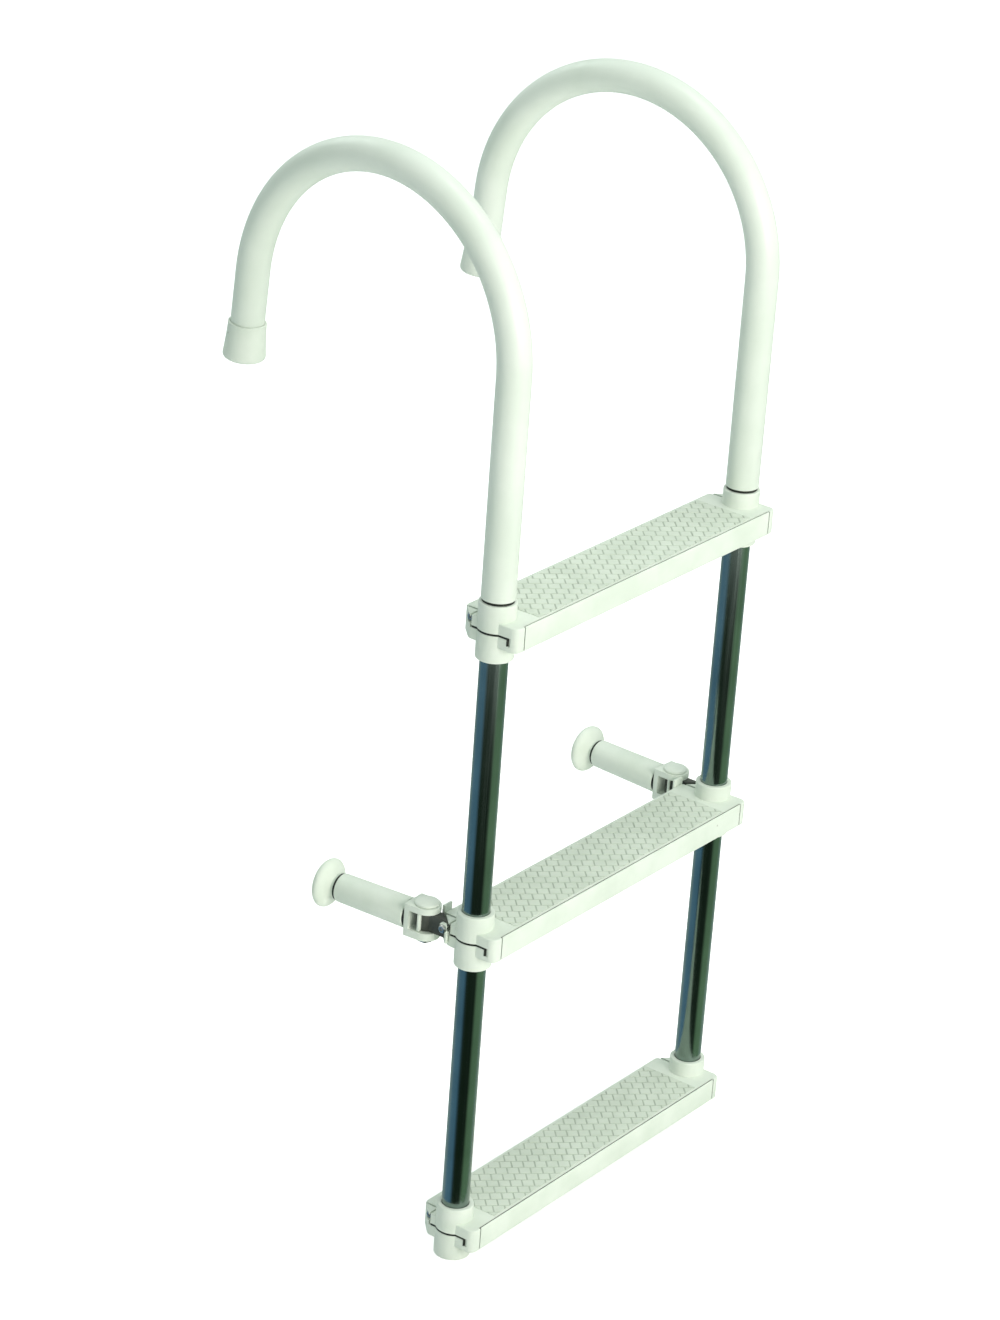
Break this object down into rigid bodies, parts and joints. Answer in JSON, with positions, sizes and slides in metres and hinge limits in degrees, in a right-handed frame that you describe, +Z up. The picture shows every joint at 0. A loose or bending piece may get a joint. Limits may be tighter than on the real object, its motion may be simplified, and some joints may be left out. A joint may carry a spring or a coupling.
{
  "type": "boat boarding ladder",
  "caption": "Portable boat boarding ladder: tube rails with sleeved swivel hooks, moulded steps clamped to the rails, and folding stand-offs that rest on the hull.",
  "frame": {"origin": "midway between the two hooks, on the line where the undersides of their crests rest on the gunwale", "axes": "+Z up along the rails, +Y from the rails towards the boat, +X to the right of a person climbing the ladder"},
  "size_m": [0.3848, 0.3132, 0.887],
  "materials": {
    "anodised_aluminium": "satin",
    "white_pvc_sleeve": "semi-gloss",
    "white_moulded_plastic": "satin",
    "white_rubber": "matte",
    "grey_nylon": "matte",
    "stainless_steel": "brushed"
  },
  "bodies": {
    "ladder": {"rail_left": "anodised_aluminium", "rail_plug_left": "white_moulded_plastic", "rail_right": "anodised_aluminium", "rail_plug_right": "white_moulded_plastic", "step_lower": "white_moulded_plastic", "clamp_screw_lower_left": "stainless_steel", "clamp_nut_lower_left": "stainless_steel", "clamp_screw_lower_right": "stainless_steel", "clamp_nut_lower_right": "stainless_steel", "step_middle": "white_moulded_plastic", "clamp_screw_middle_left": "stainless_steel", "clamp_nut_middle_left": "stainless_steel", "clamp_screw_middle_right": "stainless_steel", "clamp_nut_middle_right": "stainless_steel", "step_upper": "white_moulded_plastic", "clamp_screw_upper_left": "stainless_steel", "clamp_nut_upper_left": "stainless_steel", "clamp_screw_upper_right": "stainless_steel", "clamp_nut_upper_right": "stainless_steel", "standoff_bracket_left": "white_moulded_plastic", "standoff_bracket_right": "white_moulded_plastic"},
    "hook_left": {"hook_tube_left": "anodised_aluminium", "hook_sleeve_left": "white_pvc_sleeve", "hook_cap_left": "white_moulded_plastic", "hook_spigot_left": "grey_nylon"},
    "standoff_left": {"standoff_knuckle_left": "white_moulded_plastic", "standoff_arm_left": "white_moulded_plastic", "hinge_pin_left": "white_moulded_plastic", "hinge_nut_left": "stainless_steel"},
    "foot_left": {"standoff_foot_left": "white_rubber", "foot_stem_left": "stainless_steel"},
    "hook_right": {"hook_tube_right": "anodised_aluminium", "hook_sleeve_right": "white_pvc_sleeve", "hook_cap_right": "white_moulded_plastic", "hook_spigot_right": "grey_nylon"},
    "standoff_right": {"standoff_knuckle_right": "white_moulded_plastic", "standoff_arm_right": "white_moulded_plastic", "hinge_pin_right": "white_moulded_plastic", "hinge_nut_right": "stainless_steel"},
    "foot_right": {"standoff_foot_right": "white_rubber", "foot_stem_right": "stainless_steel"}
  },
  "joints": [
    {"name": "hook_swivel_left", "type": "hinge", "parent": "ladder", "child": "hook_left", "pos_m": [-0.161, -0.132, -0.3172], "axis": [0, 0, 1], "range_deg": [-25, 90]},
    {"name": "hook_swivel_right", "type": "hinge", "parent": "ladder", "child": "hook_right", "pos_m": [0.161, -0.132, -0.3172], "axis": [0, 0, 1], "range_deg": [-90, 25]},
    {"name": "standoff_fold_left", "type": "hinge", "parent": "ladder", "child": "standoff_left", "pos_m": [-0.1672, -0.08948, -0.5755], "axis": [0, 0, 1], "range_deg": [-72, 0]},
    {"name": "foot_extend_left", "type": "slide", "parent": "standoff_left", "child": "foot_left", "axis": [-0.0558, 0.9984, 0], "range_m": [0, 0.015]},
    {"name": "standoff_fold_right", "type": "hinge", "parent": "ladder", "child": "standoff_right", "pos_m": [0.1672, -0.08948, -0.5755], "axis": [0, 0, 1], "range_deg": [0, 72]},
    {"name": "foot_extend_right", "type": "slide", "parent": "standoff_right", "child": "foot_right", "axis": [0.0558, 0.9984, 0], "range_m": [0, 0.015]}
  ]
}
